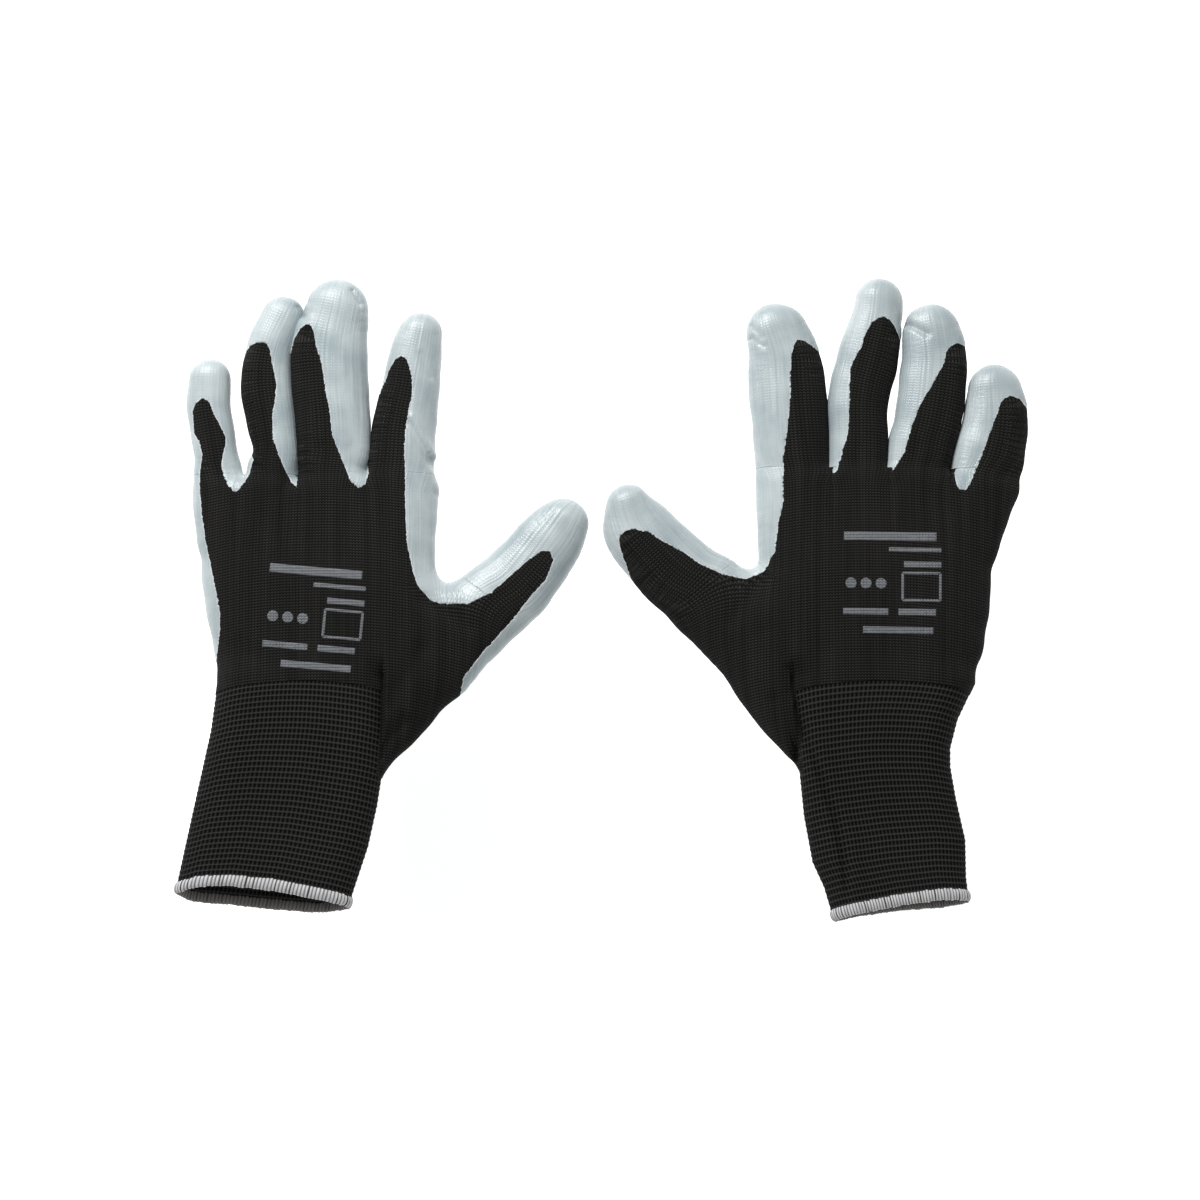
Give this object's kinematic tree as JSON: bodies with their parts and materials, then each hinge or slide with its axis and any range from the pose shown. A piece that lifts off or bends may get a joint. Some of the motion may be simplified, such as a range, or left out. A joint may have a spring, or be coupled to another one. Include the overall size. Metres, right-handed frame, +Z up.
{
  "type": "pair of work gloves",
  "caption": "Seamless knitted work gloves with a dipped palm and fingertips, ribbed cuffs and overlocked hems, lying palms down.",
  "frame": {"origin": "centre of the pair's outline, on the plane that the palms lie on", "axes": "+X from the left-hand glove to the right-hand glove, +Y towards the fingertips, +Z up out of the backs of the hands"},
  "size_m": [0.3403, 0.2546, 0.0249],
  "materials": {
    "knit": "fine plain knit, matt black",
    "rib": "elastic rib knit, matt black",
    "coating": "smooth dipped rubber, light blue grey, satin",
    "hem_thread": "grey overlock thread",
    "print_ink": "thin matt ink"
  },
  "bodies": {
    "left_hand": {"left_hand_liner": "knit", "left_palm_coating": "coating", "left_size_print": "print_ink"},
    "left_cuff": {"left_cuff_rib": "rib", "left_cuff_hem": "hem_thread"},
    "left_thumb": {"left_thumb_liner": "knit", "left_thumb_coating": "coating"},
    "left_index": {"left_index_liner": "knit", "left_index_coating": "coating"},
    "left_middle": {"left_middle_liner": "knit", "left_middle_coating": "coating"},
    "left_ring": {"left_ring_liner": "knit", "left_ring_coating": "coating"},
    "left_pinky": {"left_pinky_liner": "knit", "left_pinky_coating": "coating"},
    "right_hand": {"right_hand_liner": "knit", "right_palm_coating": "coating", "right_size_print": "print_ink"},
    "right_cuff": {"right_cuff_rib": "rib", "right_cuff_hem": "hem_thread"},
    "right_thumb": {"right_thumb_liner": "knit", "right_thumb_coating": "coating"},
    "right_index": {"right_index_liner": "knit", "right_index_coating": "coating"},
    "right_middle": {"right_middle_liner": "knit", "right_middle_coating": "coating"},
    "right_ring": {"right_ring_liner": "knit", "right_ring_coating": "coating"},
    "right_pinky": {"right_pinky_liner": "knit", "right_pinky_coating": "coating"}
  },
  "joints": [
    {"name": "right_glove_lift", "type": "slide", "parent": "left_hand", "child": "right_hand", "axis": [0, 0, 1], "range_m": [0, 0.15]},
    {"name": "left_thumb_bend", "type": "hinge", "parent": "left_hand", "child": "left_thumb", "pos_m": [-0.0475, -0.0054, 0], "axis": [-0.7727, 0.6347, 0], "range_deg": [0, 60]},
    {"name": "left_index_bend", "type": "hinge", "parent": "left_hand", "child": "left_index", "pos_m": [-0.0813, 0.044, 0], "axis": [-1, 0, 0], "range_deg": [0, 75]},
    {"name": "left_middle_bend", "type": "hinge", "parent": "left_hand", "child": "left_middle", "pos_m": [-0.109, 0.044, 0], "axis": [-1, 0, 0], "range_deg": [0, 75]},
    {"name": "left_ring_bend", "type": "hinge", "parent": "left_hand", "child": "left_ring", "pos_m": [-0.1327, 0.044, 0], "axis": [-1, 0, 0], "range_deg": [0, 75]},
    {"name": "left_pinky_bend", "type": "hinge", "parent": "left_hand", "child": "left_pinky", "pos_m": [-0.1526, 0.044, 0], "axis": [-1, 0, 0], "range_deg": [0, 75]},
    {"name": "left_wrist_bend", "type": "hinge", "parent": "left_hand", "child": "left_cuff", "pos_m": [-0.10805, -0.038, 0], "axis": [1, 0, 0], "range_deg": [0, 40]},
    {"name": "right_thumb_bend", "type": "hinge", "parent": "right_hand", "child": "right_thumb", "pos_m": [0.0454, -0.0002, 0], "axis": [-0.7627, -0.6468, 0], "range_deg": [0, 60]},
    {"name": "right_index_bend", "type": "hinge", "parent": "right_hand", "child": "right_index", "pos_m": [0.0769, 0.044, 0], "axis": [-1, 0, 0], "range_deg": [0, 75]},
    {"name": "right_middle_bend", "type": "hinge", "parent": "right_hand", "child": "right_middle", "pos_m": [0.1034, 0.044, 0], "axis": [-1, 0, 0], "range_deg": [0, 75]},
    {"name": "right_ring_bend", "type": "hinge", "parent": "right_hand", "child": "right_ring", "pos_m": [0.1279, 0.044, 0], "axis": [-1, 0, 0], "range_deg": [0, 75]},
    {"name": "right_pinky_bend", "type": "hinge", "parent": "right_hand", "child": "right_pinky", "pos_m": [0.1543, 0.044, 0], "axis": [-1, 0, 0], "range_deg": [0, 75]},
    {"name": "right_wrist_bend", "type": "hinge", "parent": "right_hand", "child": "right_cuff", "pos_m": [0.102, -0.038, 0], "axis": [1, 0, 0], "range_deg": [0, 40]}
  ]
}
